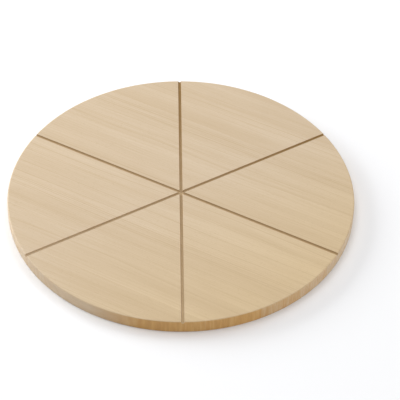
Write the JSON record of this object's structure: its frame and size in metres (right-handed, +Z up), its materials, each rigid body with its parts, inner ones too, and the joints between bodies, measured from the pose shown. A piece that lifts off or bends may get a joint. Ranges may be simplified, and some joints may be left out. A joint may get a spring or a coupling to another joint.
{
  "type": "pizza serving board",
  "caption": "Round wooden board of edge-glued staves, with crossing grooves in its upper face that mark equal portions and run out through the rim.",
  "frame": {"origin": "centre of the flat underside, on the surface that the board rests on", "axes": "+Z up, out of the grooved face; Y along one of the grooves; the grain and the staves run 30 degrees clockwise from +X, seen from above"},
  "size_m": [0.35, 0.35, 0.014],
  "materials": {
    "wood": "pale close-grained hardwood, sanded smooth and left matt with a thin coat of food-safe oil",
    "glue": "cured wood glue, translucent tan, sanded flush"
  },
  "bodies": {
    "root": {"stave_1": "wood", "stave_2": "wood", "stave_3": "wood", "stave_4": "wood", "stave_5": "wood", "stave_6": "wood", "stave_7": "wood", "stave_8": "wood", "stave_9": "wood", "glue_line_1": "glue", "glue_line_2": "glue", "glue_line_3": "glue", "glue_line_4": "glue", "glue_line_5": "glue", "glue_line_6": "glue", "glue_line_7": "glue", "glue_line_8": "glue"}
  },
  "joints": []
}
